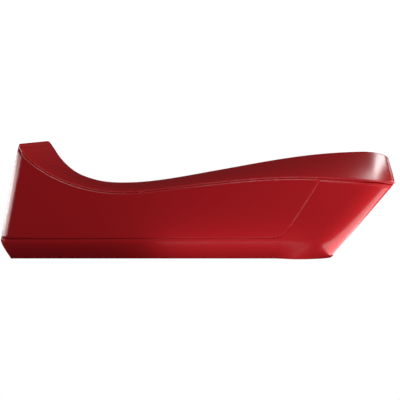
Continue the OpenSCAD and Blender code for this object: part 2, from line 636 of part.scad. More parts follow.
// Wire bail that holds the display copy against the window
bail_y = retainer_y - 9;
bail_z = door_z0 + 20;
bail_x = [door_x0 + 70, door_x1 - 70];
bail_r = 2;
bail_h = 74;
module bail_brackets() {
    color(steel) for (x = bail_x) difference() {
        union() {
            block([x - 7, bail_y - 4, bail_z - 5], [x + 7, retainer_y - 3, bail_z + 5]);
            block([x - 7, retainer_y - 3, bail_z - 8], [x + 7, half_w - wall - fit, bail_z - 4]);
        }
        rod_x(bail_r + pin_fit, x - 8, x + 8, bail_y, bail_z);
    }
}
module display_bail() {
    x0 = bail_x[0] + 12;
    x1 = bail_x[1] - 12;
    color(steel) {
        rod_x(bail_r, bail_x[0] - 10, x0, bail_y, bail_z);
        rod_x(bail_r, x1, bail_x[1] + 10, bail_y, bail_z);
        for (x = [x0, x1]) {
            rod_z(bail_r, bail_z, bail_z + bail_h, x, bail_y);
            translate([x, bail_y, bail_z]) sphere(r = bail_r);
            translate([x, bail_y, bail_z + bail_h]) sphere(r = bail_r);
        }
        rod_x(bail_r, x0, x1, bail_y, bail_z + bail_h);
    }
}

// ---- coin mechanism -----------------------------------------------------
case_x0 = x_left + 150;
case_x1 = x_left + 270;
case_y0 = half_w - 100;
case_y1 = half_w - wall - fit;
case_z0 = 146;
case_z1 = 212;
case_t = 2;
chute_x = slot_x;
cradle_z = 172;
stem_r = 4;
rib_y = half_w - 44;
module coin_mech_case() {
    color(steel) difference() {
        union() {
            difference() {
                block([case_x0, case_y0, case_z0], [case_x1, case_y1, case_z1]);
                block([case_x0 + case_t, case_y0 - 1, case_z0 + case_t],
                    [case_x1 - case_t, case_y1 - case_t, case_z1 - case_t]);
            }
            block([button_x - 14, rib_y, case_z0 + 1], [case_x1 - 1, rib_y + 2, case_z1 - 1]);
        }
        block([slot_x - 3, case_y1 - 3, slot_z - 17], [slot_x + 3, case_y1 + 1, slot_z + 17]);
        block([chute_x - 15, case_y0 + 4, case_z0 - 1], [chute_x + 15, case_y0 + 30, case_z0 + case_t + 1]);
        rod_y(bush_r + 1, case_y1 - 3, case_y1 + 1, button_x, button_z);
        rod_y(stem_r + pin_fit, rib_y - 1, rib_y + 3, button_x, button_z);
        rod_x(3 + pin_fit, case_x0 - 1, case_x0 + case_t + 1, case_y0 + 50, cradle_z);
        rod_x(latch_pin_r + pin_fit, case_x1 - case_t - 1, case_x1 + 1, latch_y, latch_z);
    }
}
module coin_slot_bezel() {
    y0 = half_w + fit;
    color(steel) difference() {
        plate_xz(rounded([[slot_x - 16, slot_z - 27, 6], [slot_x + 16, slot_z - 27, 6],
            [slot_x + 16, slot_z + 27, 6], [slot_x - 16, slot_z + 27, 6]]), y0, y0 + 4);
        block([slot_x - 1.75, y0 - 1, slot_z - 15], [slot_x + 1.75, y0 + 5, slot_z + 15]);
    }
}
// Square tube that leads coins from the case into the drawer
module coin_chute() {
    z0 = drawer_z + drawer_h + 8;
    color(steel) difference() {
        block([chute_x - 14.5, case_y0 + 4.5, z0 + fit], [chute_x + 14.5, case_y0 + 29.5, case_z0 + case_t + 12]);
        block([chute_x - 13, case_y0 + 6, z0 - 1], [chute_x + 13, case_y0 + 28, 200]);
    }
}
// Balance plate that a coin tips, on a pin across the case
module coin_cradle() {
    y = case_y0 + 50;
    color(steel) difference() {
        union() {
            rod_x(6, case_x0 + 8, case_x0 + 30, y, cradle_z);
            block([case_x0 + 8, y - 34, cradle_z - 1.5], [case_x0 + 30, y + 22, cradle_z + 1.5]);
            block([case_x0 + 8, y - 34, cradle_z - 1.5], [case_x0 + 30, y - 31, cradle_z + 8]);
        }
        rod_x(3 + pin_fit, case_x0, case_x0 + 40, y, cradle_z);
    }
}
module cradle_pin() { color(steel) rod_x(3, case_x0 - 2, case_x0 + 33, case_y0 + 50, cradle_z); }

// Latch hook, drawn raised clear of the keeper; it drops by latch_swing to hold the door
latch_pin_r = 4;
latch_y = keeper_y - 60;
latch_z = keeper_z + 7;
latch_swing = 20;
module latch_hook() {
    color(steel) translate([keeper_x - 3, latch_y, latch_z]) rotate([latch_swing, 0, 0]) difference() {
        union() {
            rotate([90, 0, 90]) linear_extrude(6) polygon([[-26, -4], [0, -8], [52, -3.6],
                [64.4, -3.6], [64.4, -12], [70, -12], [72, -4], [68, 5], [0, 8], [-26, 4]]);
            rotate([0, 90, 0]) cylinder(r = 9, h = 6);
        }
        translate([-1, 0, 0]) rotate([0, 90, 0]) cylinder(r = latch_pin_r + pin_fit / 2, h = 8);
    }
}
// Shaft that carries the hook, through the bulkhead to a lever whose finger lies over the cradle
module latch_shaft() {
    x0 = case_x0 + 34;
    color(steel) {
        rod_x(latch_pin_r, x0, keeper_x + 8, latch_y, latch_z);
        rod_x(latch_pin_r + 3, coin_wall_x + sheet + fit, coin_wall_x + sheet + 6, latch_y, latch_z);
        rod_x(latch_pin_r + 3, coin_wall_x - 6, coin_wall_x - fit, latch_y, latch_z);
        rod_x(latch_pin_r + 3, keeper_x + 3 + fit, keeper_x + 6, latch_y, latch_z);
        hull() {
            rod_x(6, x0, x0 + 4, latch_y, latch_z);
            rod_x(3, x0, x0 + 4, latch_y + 12, latch_z + 4.5);
        }
        rod_x(1.5, x0 - 18, x0 + 2, latch_y + 12, latch_z + 4.5);
    }
}

module button_bush() {
    color(steel) difference() {
        union() {
            rod_y(bush_r, half_w - wall - 9, half_w + fit, button_x, button_z);
            rod_y(bush_r + 4, half_w + fit, half_w + fit + 2, button_x, button_z);
        }
        rod_y(button_r + pin_fit, half_w - 40, half_w + 10, button_x, button_z);
    }
}
button_back = half_w - 14 - button_travel;
module release_button() {
    color("gold") {
        rod_y(button_r, button_back, half_w + 11, button_x, button_z);
        rod_y(stem_r, rib_y - 4, button_back + 1, button_x, button_z);
    }
}
module button_spring() { color(dark) coil(6, 0.6, 6, rib_y + 2 + fit, button_back - fit, button_x, button_z); }

// Return cup with a flap hung from a pin at its top
flap_z = cup_z + cup_h / 2 - 4;
flap_y = half_w - 3;
module return_cup() {
    w = cup_w / 2;
    h = cup_h / 2;
    y0 = half_w - 42;
    y1 = half_w - wall - fit;
    color(steel) difference() {
        block([cup_x - w - 2, y0, cup_z - h - 2], [cup_x + w + 2, y1, cup_z + h + 2]);
        block([cup_x - w, y0 + 2, cup_z - h], [cup_x + w, y1 + 1, cup_z + h]);
        block([cup_x - 12, y0 - 1, cup_z + 2], [cup_x + 12, y0 + 3, cup_z + h]);
    }
}
module flap_pin() {
    color(steel) rod_x(1.5, cup_x - cup_w / 2 + 0.2, cup_x + cup_w / 2 - 0.2, flap_y - 6, flap_z);
}
module return_flap() {
    w = cup_w / 2 - 1.5;
    color(steel) difference() {
        union() {
            block([cup_x - w, flap_y - 7, cup_z - cup_h / 2 + 1.5], [cup_x + w, flap_y - 5, flap_z]);
            rod_x(3, cup_x - w, cup_x + w, flap_y - 6, flap_z);
        }
        rod_x(1.5 + pin_fit, cup_x - w - 1, cup_x + w + 1, flap_y - 6, flap_z);
    }
}

// ---- coin drawer --------------------------------------------------------
drawer_x0 = end_x(drawer_z + drawer_h) + wall + 4;
drawer_x1 = drawer_x0 + drawer_l;
cage_t = 2;
run_gap = 0.7;
lock_r = 9;
cam_reach = 39;
cam_half = 5;
module cash_cage() {
    z0 = drawer_z - run_gap - cage_t;
    z1 = drawer_z + drawer_h + 6;
    y0 = drawer_y - drawer_w / 2 - run_gap;
    y1 = drawer_y + drawer_w / 2 + run_gap;
    color(dark) {
        difference() {
            block([drawer_x0, y0 - cage_t, z0], [drawer_x1 + run_gap + cage_t, y1 + cage_t, z1 + cage_t]);
            block([drawer_x0 - 1, y0, z0 + cage_t], [drawer_x1 + run_gap, y1, z1]);
            block([chute_x - 15, case_y0 + 4, z1 - 1], [chute_x + 15, case_y0 + 30, z1 + cage_t + 1]);
            // Slot that the cam swings up into
            block([drawer_x0 + 2, drawer_y - cam_half - 7, z1 - 1],
                [drawer_x0 + 24, drawer_y + 0.8 * cam_reach, z1 + cage_t + 1]);
        }
        for (x = [drawer_x0 + 30, drawer_x1 - 30], y = [y0 + 6, y1 - 18])
            block([x, y, base_t + fit], [x + 12, y + 12, z0]);
    }
}
module coin_drawer() {
    y0 = drawer_y - drawer_w / 2;
    y1 = drawer_y + drawer_w / 2;
    color(steel) difference() {
        block([drawer_x0, y0, drawer_z], [drawer_x1, y1, drawer_z + drawer_h]);
        block([drawer_x0 + 1.5, y0 + 1.5, drawer_z + 1.5], [drawer_x1 - 1.5, y1 - 1.5, drawer_z + drawer_h + 1]);
        block([drawer_x0 - 1, drawer_y - 14, drawer_z + drawer_h / 2 - 14.5],
            [drawer_x0 + 3, drawer_y + 14, drawer_z + drawer_h + 1]);
    }
}
lock_s = (front_z0 + front_z1) / 2;
module drawer_front() {
    color(paint) difference() {
        union() {
            on_end() block([0, drawer_y - front_half, front_z0], [wall, drawer_y + front_half, front_z1]);
            intersection() {
                on_end() block([wall - 0.5, drawer_y - drawer_w / 2, front_z0], [60, drawer_y + drawer_w / 2, front_z1]);
                for (y = [drawer_y - drawer_w / 2, drawer_y + drawer_w / 2 - 2])
                    block([x_left, y, drawer_z], [drawer_x0 - fit, y + 2, drawer_z + drawer_h]);
            }
        }
        on_end() translate([-1, drawer_y, lock_s]) rotate([0, 90, 0]) cylinder(r = lock_r + pin_fit, h = wall + 2);
    }
}
module drawer_lock() {
    color(steel) on_end() {
        difference() {
            union() {
                translate([-fit - 2.5, drawer_y, lock_s]) rotate([0, 90, 0]) cylinder(r = lock_r + 3, h = 2.5);
                translate([-fit - 1, drawer_y, lock_s]) rotate([0, 90, 0]) cylinder(r = lock_r, h = 19);
            }
            block([-5, drawer_y - 1, lock_s - 4], [3, drawer_y + 1, lock_s + 4]);
        }
    }
}
module lock_cam() {
    color(steel) on_end() translate([18, drawer_y, lock_s]) rotate([90, 0, 90])
        linear_extrude(2.5) polygon(rounded([[-6, -6, 3], [cam_reach, -cam_half, 2], [cam_reach, cam_half, 2], [-6, 6, 3]]));
}

base_hull();
base_plate();
rear_panel();
rear_corner();
end_panel();
front_corner();
front_fascia();
roof_cover();
coin_bulkhead();
prow_bulkhead();
bay_floor();
paper_guides();
paper_stop();
ballast_block();
ballast_bolts();
door_stop_frame();
door_bumpers();
hinge_leaves_fixed();
hinge_pins();
hinge_leaves_door();
door_springs();
door_panel();
window_gasket();
door_window();
window_retainer();
retainer_screws();
door_handle();
handle_screws();
door_keeper();
bail_brackets();
display_bail();
coin_mech_case();
coin_slot_bezel();
coin_chute();
coin_cradle();
cradle_pin();
latch_hook();
latch_shaft();
button_bush();
release_button();
button_spring();
return_cup();
return_flap();
flap_pin();
cash_cage();
coin_drawer();
drawer_front();
drawer_lock();
lock_cam();
fascia_screws();
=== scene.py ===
"""Looks of a long, low vending box with a wave-shaped roof, laid out as an add-on and run as a script."""
import json
import math

import bmesh
import bpy
from bpy.props import FloatProperty, FloatVectorProperty, PointerProperty
from mathutils import Matrix, Vector


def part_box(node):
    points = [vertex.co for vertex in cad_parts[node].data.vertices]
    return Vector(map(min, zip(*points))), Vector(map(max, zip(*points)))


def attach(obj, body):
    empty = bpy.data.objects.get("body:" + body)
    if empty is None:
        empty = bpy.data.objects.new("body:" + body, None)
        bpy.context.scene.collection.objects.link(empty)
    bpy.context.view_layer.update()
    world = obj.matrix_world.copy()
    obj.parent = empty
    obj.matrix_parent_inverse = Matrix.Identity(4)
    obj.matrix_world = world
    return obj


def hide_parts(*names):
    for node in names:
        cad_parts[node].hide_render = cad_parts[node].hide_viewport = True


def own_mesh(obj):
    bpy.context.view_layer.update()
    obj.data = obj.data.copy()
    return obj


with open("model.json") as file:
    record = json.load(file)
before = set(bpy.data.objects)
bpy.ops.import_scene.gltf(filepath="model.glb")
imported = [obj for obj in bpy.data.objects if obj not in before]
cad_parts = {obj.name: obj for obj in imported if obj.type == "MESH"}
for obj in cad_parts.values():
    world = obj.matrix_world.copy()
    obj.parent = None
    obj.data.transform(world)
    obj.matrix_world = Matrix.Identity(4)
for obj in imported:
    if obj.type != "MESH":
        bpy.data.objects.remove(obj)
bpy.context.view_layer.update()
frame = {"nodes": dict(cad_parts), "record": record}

bl_info = {
    "name": "Wave-roof Vending Box",
    "version": (1, 0, 0),
    "blender": (4, 5, 0),
    "location": "View3D > Sidebar > Vending Box",
    "description": "Mouldings, hardware, finishes and stage of a long, low vending box",
    "category": "Object",
}

MM = 0.001
ROOF_WALL = 0.0028
HULL_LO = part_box("base_hull")[0]
ROOF_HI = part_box("roof_cover")[1]


# ---- sizes and colours ------------------------------------------------------
def length(name, description, default):
    return FloatProperty(name=name, description=description, default=default, unit="LENGTH")


def colour(name, description, default):
    return FloatVectorProperty(name=name, description=description, default=default,
                               subtype="COLOR", size=3, min=0.0, max=1.0)


class MouldingSizes(bpy.types.PropertyGroup):
    """Sizes of the smooth outer mouldings, in metres"""
    wall: length("Wall", "Thickness of the hull and side mouldings", 0.004)
    roof_edge: length("Roof edge", "Depth of the roof's edge", 0.005)
    edge_radius: length("Edge radius", "Rounding along the roof's edge", 0.0034)
    groove_depth: length("Groove depth", "Depth of the fine groove inside the roof's edge", 0.0010)
    seam: length("Seam", "Gap between the hull and the side moulding", 0.00015)
    roof_gap: length("Roof gap", "Gap between the side moulding and the roof", 0.0008)
    corner: length("Corner radius", "Radius of the upright corners at the head", 0.036)
    skirt: length("Skirt height", "Height of the tucked skirt", 0.061)
    tuck: length("Skirt tuck", "How far the skirt draws in under the long sides", 0.026)
    toe: length("Toe tuck", "How far the skirt draws in under the head", 0.036)
    crown: length("Crown", "How far the roof rises inside its rear edge", 0.0050)


class HardwareSizes(bpy.types.PropertyGroup):
    """Edge rounding of the sheet and turned pieces, in metres"""
    panel_edge: length("Panel edge", "Rounded edge of painted panels", 0.0008)
    sheet_edge: length("Sheet edge", "Rounded edge of folded sheet", 0.0004)
    turned_edge: length("Turned edge", "Rounded edge of small hardware", 0.0003)


class FinishColours(bpy.types.PropertyGroup):
    """Colours of the finishes"""
    gelcoat: colour("Gelcoat", "Deep red of the mouldings", (0.52, 0.0055, 0.0070))
    gelcoat_deep: colour("Gelcoat, deep", "Darker clouds in the red", (0.44, 0.0040, 0.0055))
    enamel: colour("Enamel", "Red of the painted steel", (0.50, 0.0055, 0.0070))
    zinc: colour("Zinc", "Plated steel", (0.55, 0.56, 0.58))
    brass: colour("Brass", "Turned brass", (0.75, 0.55, 0.22))


def sizes():
    return bpy.context.scene.moulding_sizes


def edges():
    return bpy.context.scene.hardware_sizes


def hues():
    return bpy.context.scene.finish_colours


# ---- shape of the body, in millimetres --------------------------------------
X_LEFT, X_RIGHT = HULL_LO.x / MM, ROOF_HI.x / MM
HALF_W = -HULL_LO.y / MM
HEAD_H = ROOF_HI.z / MM
HEAD_LEAN, PROW_RAKE = 72, 204
SKIRT_H = 61
LIP_X = X_LEFT + HEAD_LEAN
PROW_X = X_RIGHT - PROW_RAKE
LEAN = HEAD_LEAN / (HEAD_H - SKIRT_H)
STRETCH_LIMIT = 1.9
CROWN_RUN_IN = 90
CROWN_PEAK = 6.75  # makes the greatest value of t * (1 - t) ** 2 equal to one
ROLL_L, ROLL_D = 120.0, 60.0
SEAM_Z, SEAM_X, SEAM_LEAN, SEAM_R = 68.0, X_RIGHT - 360, 0.66, 60.0
SEAM_TURN = math.atan(1 / SEAM_LEAN)
SEAM_TANGENT = SEAM_R * math.tan(SEAM_TURN / 2)


def mix(a, b, t):
    return a + (b - a) * t


REAR = [(LIP_X, HEAD_H, -1.6), (LIP_X + 69, HEAD_H - 74, -0.72), (LIP_X + 202, 246.5, -0.3),
        (LIP_X + 352, 224, 0), (mix(LIP_X + 352, X_RIGHT - 320, 0.44), mix(224, 267, 0.52), 0.105),
        (X_RIGHT - 320, 267, 0), (X_RIGHT - 67, 250, -0.12), (X_RIGHT, 231, -0.4)]
FRONT = [(LIP_X, HEAD_H, -2.4), (LIP_X + 69, HEAD_H - 101, -0.9), (LIP_X + 161, 238.5, -0.3),
         (LIP_X + 278, 225, 0), (mix(LIP_X + 278, X_RIGHT - 70, 0.376), mix(225, 329, 0.39), 0.167),
         (X_RIGHT - 312, 314.5, 0.12), (X_RIGHT - 70, 329, 0), (X_RIGHT, 321.5, -0.15)]


def curve(knots, x):
    """Cubic through knots of x, height and slope"""
    i = 0
    while i < len(knots) - 2 and x > knots[i + 1][0]:
        i += 1
    a, b = knots[i], knots[i + 1]
    w = b[0] - a[0]
    t = (x - a[0]) / w
    return (a[1] * (1 + 2 * t) * (1 - t) ** 2 + w * a[2] * t * (1 - t) ** 2
            + b[1] * t * t * (3 - 2 * t) + w * b[2] * t * t * (t - 1))


def roof_z(x, y):
    return mix(curve(REAR, x), curve(FRONT, x), (y + HALF_W) / (2 * HALF_W))


def roof_stretch(x, y):
    return math.hypot(1, (roof_z(x + 1, y) - roof_z(x - 1, y)) / 2)


def slope_allowance(x, y):
    """How much longer an upright length is than one square to the roof, with an upper limit"""
    return min(roof_stretch(x, y), STRETCH_LIMIT)


def panel_top(x, y):
    s = sizes()
    return roof_z(x, y) - (s.roof_edge + s.roof_gap) / MM * slope_allowance(x, y)


def end_x(z):
    return X_LEFT + LEAN * (z - sizes().skirt / MM)


def crown_rise(y):
    """Rolls the roof down towards its rear edge"""
    t = (y + HALF_W) / (2 * HALF_W)
    return sizes().crown / MM * CROWN_PEAK * t * (1 - t) ** 2


def prow_rate(y):
    return PROW_RAKE / roof_z(X_RIGHT, y)


def corner_cut(d):
    r = sizes().corner / MM
    return 0 if d >= r else r - math.sqrt(r * r - (r - d) ** 2)


def roll_cut(d):
    return 0 if d >= ROLL_D else ROLL_L * (1 - math.sqrt(1 - (1 - d / ROLL_D) ** 2))


def settle(step, start, rounds=14):
    """Repeats a step until its value stands still"""
    for _ in range(rounds):
        start = step(start)
    return start


def lip_meet(d, y):
    return settle(lambda x: (x + end_x(roof_z(x, y)) + corner_cut(d)) / 2, LIP_X)


def slant_x(z):
    return SEAM_X + SEAM_LEAN * (z - SEAM_Z)


def slant_top(y):
    return settle(lambda z: panel_top(slant_x(z), y), 250.0, 8)


def seam_line(z):
    """Right limit of the side moulding at a height: the round corner of the seam, then its slant"""
    rise = z - SEAM_Z
    if rise < SEAM_R * (1 - math.cos(SEAM_TURN)):
        return SEAM_X - SEAM_TANGENT + math.sqrt(max(0.0, SEAM_R ** 2 - (SEAM_R - rise) ** 2))
    return slant_x(z)


# ---- bmesh helpers ----------------------------------------------------------
def finish_piece(bm, name, body, slot, stands_for, smooth=True):
    """Turns a bmesh into a named piece that rides on a body and stands for CAD nodes"""
    mesh = bpy.data.meshes.new(name)
    for f in bm.faces:
        f.smooth = smooth
    bm.to_mesh(mesh)
    bm.free()
    piece = bpy.data.objects.new(name, mesh)
    bpy.context.scene.collection.objects.link(piece)
    mesh.materials.append(finish(slot))
    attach(piece, body)
    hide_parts(*stands_for)
    return piece


def shaped_grid(columns, rows, place, ring=False):
    """A grid whose points take their place from two index shares; a ring closes on itself"""
    bm = bmesh.new()
    bmesh.ops.create_grid(bm, x_segments=columns, y_segments=rows, size=0.5)
    for v in bm.verts:
        i = round((v.co.x + 0.5) * columns)
        j = round((v.co.y + 0.5) * rows)
        v.co = Vector(place(i, j)) * MM
    if ring:
        bmesh.ops.remove_doubles(bm, verts=bm.verts, dist=1e-6)
    bmesh.ops.recalc_face_normals(bm, faces=bm.faces)
    return bm


def outwards(bm, probe):
    """Turns an open skin so that the face nearest a probe point looks towards it"""
    bm.faces.ensure_lookup_table()
    near = min(bm.faces, key=lambda f: (f.calc_center_median() - probe).length)
    if near.normal.dot(probe - near.calc_center_median()) < 0:
        bmesh.ops.reverse_faces(bm, faces=bm.faces)


def wall_of(piece, thickness):
    thick = piece.modifiers.new("Wall", "SOLIDIFY")
    thick.thickness = thickness
    thick.offset = -1.0
    thick.use_even_offset = False


def even_normals(piece):
    weighted = piece.modifiers.new("Even normals", "WEIGHTED_NORMAL")
    weighted.keep_sharp = True


# ---- finishes ---------------------------------------------------------------
def socket(tree, name, kind, inward, default=None):
    s = tree.interface.new_socket(name=name, in_out="INPUT" if inward else "OUTPUT", socket_type=kind)
    if default is not None:
        s.default_value = default
    return s


def group_of(name, inputs, outputs):
    tree = bpy.data.node_groups.new(name, "ShaderNodeTree")
    for n, kind, d in inputs:
        socket(tree, n, kind, True, d)
    for n, kind in outputs:
        socket(tree, n, kind, False)
    return tree, tree.nodes.new("NodeGroupInput"), tree.nodes.new("NodeGroupOutput")


def surface_group():
    """Fine texture of a surface: a cloud mask, a fine grain and the normal that the grain gives"""
    if "Surface texture" in bpy.data.node_groups:
        return bpy.data.node_groups["Surface texture"]
    tree, inn, out = group_of(
        "Surface texture",
        [("Vector", "NodeSocketVector", None), ("Cloud scale", "NodeSocketFloat", 6.0),
         ("Grain scale", "NodeSocketFloat", 400.0), ("Relief", "NodeSocketFloat", 0.02)],
        [("Cloud", "NodeSocketFloat"), ("Grain", "NodeSocketFloat"), ("Normal", "NodeSocketVector")])
    link = tree.links.new
    cloud = tree.nodes.new("ShaderNodeTexNoise")
    cloud.inputs["Detail"].default_value = 3.0
    grain = tree.nodes.new("ShaderNodeTexNoise")
    grain.inputs["Detail"].default_value = 4.0
    bump = tree.nodes.new("ShaderNodeBump")
    bump.inputs["Distance"].default_value = 0.0005
    for n, scale in ((cloud, "Cloud scale"), (grain, "Grain scale")):
        link(inn.outputs["Vector"], n.inputs["Vector"])
        link(inn.outputs[scale], n.inputs["Scale"])
    link(grain.outputs["Fac"], bump.inputs["Height"])
    link(inn.outputs["Relief"], bump.inputs["Strength"])
    link(cloud.outputs["Fac"], out.inputs["Cloud"])
    link(grain.outputs["Fac"], out.inputs["Grain"])
    link(bump.outputs["Normal"], out.inputs["Normal"])
    return tree


def rub_group():
    """Rubbed patches and hairline scratches, as one mask"""
    if "Rub marks" in bpy.data.node_groups:
        return bpy.data.node_groups["Rub marks"]
    tree, inn, out = group_of("Rub marks", [("Vector", "NodeSocketVector", None),
                                            ("Amount", "NodeSocketFloat", 0.2)],
                              [("Mask", "NodeSocketFloat")])
    link = tree.links.new
    stretch = tree.nodes.new("ShaderNodeMapping")
    stretch.inputs["Scale"].default_value = (14.0, 900.0, 420.0)
    lines = tree.nodes.new("ShaderNodeTexNoise")
    lines.inputs["Scale"].default_value = 1.0
    lines.inputs["Detail"].default_value = 5.0
    patch = tree.nodes.new("ShaderNodeTexNoise")
    patch.inputs["Scale"].default_value = 9.0
    keep = tree.nodes.new("ShaderNodeMapRange")
    keep.inputs["From Min"].default_value = 0.60
    keep.inputs["From Max"].default_value = 0.78
    both = tree.nodes.new("ShaderNodeMath")
    both.operation = "MULTIPLY"
    scaled = tree.nodes.new("ShaderNodeMath")
    scaled.operation = "MULTIPLY"
    link(inn.outputs["Vector"], stretch.inputs["Vector"])
    link(stretch.outputs["Vector"], lines.inputs["Vector"])
    link(inn.outputs["Vector"], patch.inputs["Vector"])
    link(lines.outputs["Fac"], keep.inputs["Value"])
    link(keep.outputs["Result"], both.inputs[0])
    link(patch.outputs["Fac"], both.inputs[1])
    link(both.outputs["Value"], scaled.inputs[0])
    link(inn.outputs["Amount"], scaled.inputs[1])
    link(scaled.outputs["Value"], out.inputs["Mask"])
    return tree


FINISHES = {
    # slot: (colour, second colour, roughness low, high, metallic, cloud, grain, relief, rub, stretch, coat)
    "gloss_red_gelcoat": ("gelcoat", "gelcoat_deep", 0.34, 0.40, 0.35, 3.0, 260.0, 0.010, 0.02,
                          (1, 1, 1), 0.8),
    "red_painted_steel": ("enamel", "gelcoat_deep", 0.32, 0.42, 0.35, 4.0, 480.0, 0.016, 0.04,
                          (1, 1, 1), 0.7),
    "galvanised_sheet": ((0.62, 0.63, 0.64), (0.50, 0.52, 0.54), 0.32, 0.52, 1.0, 55.0, 700.0, 0.05, 0.20,
                         (1, 1, 1), 0.0),
    "stainless_trim": ((0.66, 0.66, 0.67), (0.58, 0.58, 0.59), 0.22, 0.36, 1.0, 12.0, 240.0, 0.05, 0.30,
                       (0.08, 2, 2), 0.0),
    "zinc_hardware": ("zinc", (0.47, 0.47, 0.46), 0.28, 0.42, 1.0, 40.0, 600.0, 0.04, 0.20, (1, 1, 1), 0.0),
    "chromed_handle": ((0.72, 0.72, 0.74), (0.66, 0.67, 0.69), 0.14, 0.22, 1.0, 20.0, 500.0, 0.006, 0.10,
                       (1, 1, 1), 0.0),
    "black_steel": ((0.035, 0.035, 0.038), (0.050, 0.050, 0.053), 0.42, 0.56, 0.0, 30.0, 900.0, 0.12, 0.05,
                    (1, 1, 1), 0.0),
    "cast_ballast": ((0.090, 0.090, 0.095), (0.150, 0.085, 0.055), 0.62, 0.82, 0.2, 22.0, 320.0, 0.60, 0.05,
                     (1, 1, 1), 0.0),
    "spring_steel": ((0.30, 0.30, 0.31), (0.20, 0.20, 0.21), 0.25, 0.40, 1.0, 60.0, 800.0, 0.04, 0.15,
                     (1, 1, 1), 0.0),
    "rubber_seal": ((0.030, 0.030, 0.030), (0.046, 0.045, 0.044), 0.62, 0.78, 0.0, 45.0, 1200.0, 0.15, 0.02,
                    (1, 1, 1), 0.0),
    "brass_button": ("brass", (0.58, 0.40, 0.15), 0.16, 0.30, 1.0, 70.0, 700.0, 0.04, 0.35, (1, 1, 1), 0.0),
    "clear_pane": ((0.93, 0.96, 0.97), (0.88, 0.92, 0.93), 0.02, 0.05, 0.0, 8.0, 300.0, 0.003, 0.04,
                   (1, 1, 1), 0.0),
}


def rgba(value):
    c = getattr(hues(), value) if isinstance(value, str) else value
    return (c[0], c[1], c[2], 1.0)


def finish(slot):
    """The material of a slot, built once"""
    if slot in bpy.data.materials:
        return bpy.data.materials[slot]
    first, second, low, high, metal, cloud, grain, relief, rub, stretch, coat = FINISHES[slot]
    material = bpy.data.materials.new(slot)
    material.use_nodes = True
    nodes, link = material.node_tree.nodes, material.node_tree.links.new
    shader = nodes["Principled BSDF"]
    place = nodes.new("ShaderNodeTexCoord")
    turn = nodes.new("ShaderNodeMapping")
    turn.inputs["Scale"].default_value = stretch
    texture = nodes.new("ShaderNodeGroup")
    texture.node_tree = surface_group()
    texture.inputs["Cloud scale"].default_value = cloud
    texture.inputs["Grain scale"].default_value = grain
    texture.inputs["Relief"].default_value = relief
    marks = nodes.new("ShaderNodeGroup")
    marks.node_tree = rub_group()
    marks.inputs["Amount"].default_value = rub
    blend = nodes.new("ShaderNodeMix")
    blend.data_type = "RGBA"
    blend.inputs[6].default_value = rgba(first)
    blend.inputs[7].default_value = rgba(second)
    rough = nodes.new("ShaderNodeMapRange")
    rough.inputs["To Min"].default_value = low
    rough.inputs["To Max"].default_value = high
    added = nodes.new("ShaderNodeMath")
    added.operation = "ADD"
    added.use_clamp = True
    link(place.outputs["Object"], turn.inputs["Vector"])
    link(turn.outputs["Vector"], texture.inputs["Vector"])
    link(place.outputs["Object"], marks.inputs["Vector"])
    link(texture.outputs["Cloud"], blend.inputs[0])
    link(blend.outputs[2], shader.inputs["Base Color"])
    link(texture.outputs["Grain"], rough.inputs["Value"])
    link(rough.outputs["Result"], added.inputs[0])
    link(marks.outputs["Mask"], added.inputs[1])
    link(added.outputs["Value"], shader.inputs["Roughness"])
    link(texture.outputs["Normal"], shader.inputs["Normal"])
    shader.inputs["Metallic"].default_value = metal
    shader.inputs["Coat Weight"].default_value = coat
    shader.inputs["Coat Roughness"].default_value = 0.04
    if coat:
        shader.inputs["Specular IOR Level"].default_value = 0.0
        shader.inputs["Specular Tint"].default_value = (1.0, 0.03, 0.03, 1.0)
    if slot == "clear_pane":
        shader.inputs["Transmission Weight"].default_value = 1.0
        shader.inputs["IOR"].default_value = 1.49
    return material


